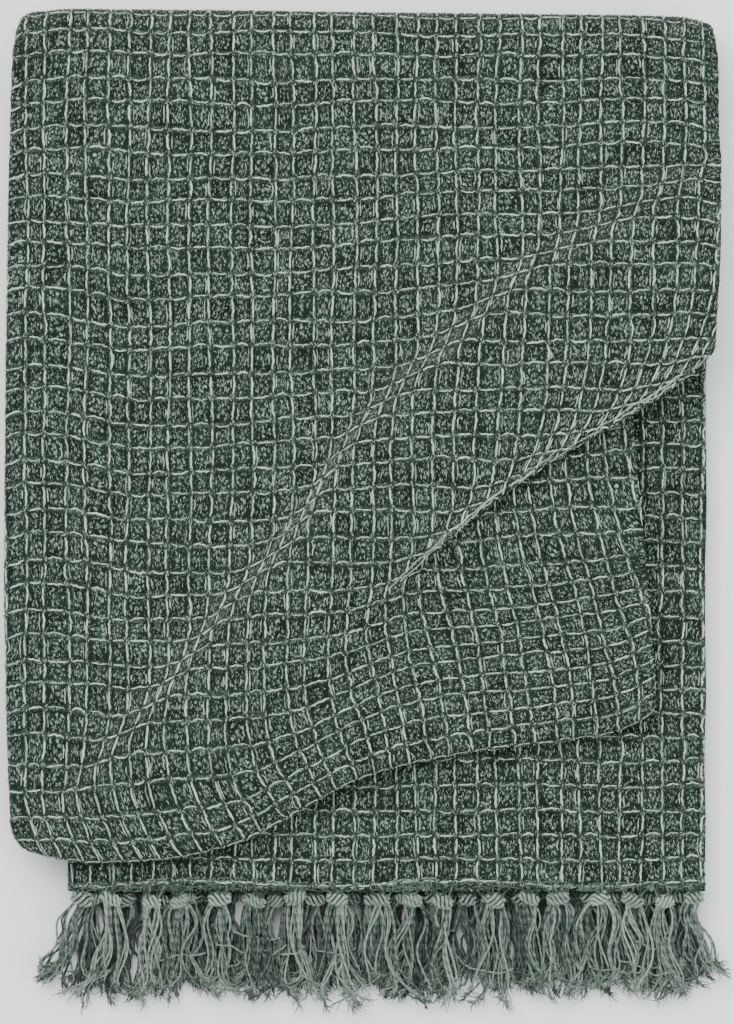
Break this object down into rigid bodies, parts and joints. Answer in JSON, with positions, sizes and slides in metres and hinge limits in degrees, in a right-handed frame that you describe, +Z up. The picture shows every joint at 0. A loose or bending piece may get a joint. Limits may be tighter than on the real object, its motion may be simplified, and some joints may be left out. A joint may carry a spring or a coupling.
{
  "type": "throw blanket",
  "caption": "Cotton honeycomb-weave throw folded into a flat packet, a soft pleat running across its top and a knotted fringe reaching out of one end.",
  "frame": {"origin": "middle of the folded throw's box, on the surface it rests on", "axes": "+Z up out of the surface, +Y along the folded throw away from its fringed end, +X across it to the side of the pleat's drawn-in edge"},
  "size_m": [0.3592, 0.5019, 0.0551],
  "materials": {
    "woven_cotton": "soft matte cotton, dark green with a pale sage honeycomb grid",
    "fringe_yarn": "soft matte twisted cotton yarn in grey green"
  },
  "bodies": {
    "root": {"woven_cloth": "woven_cotton", "upper_fringe": "fringe_yarn", "lower_fringe": "fringe_yarn"}
  },
  "joints": []
}
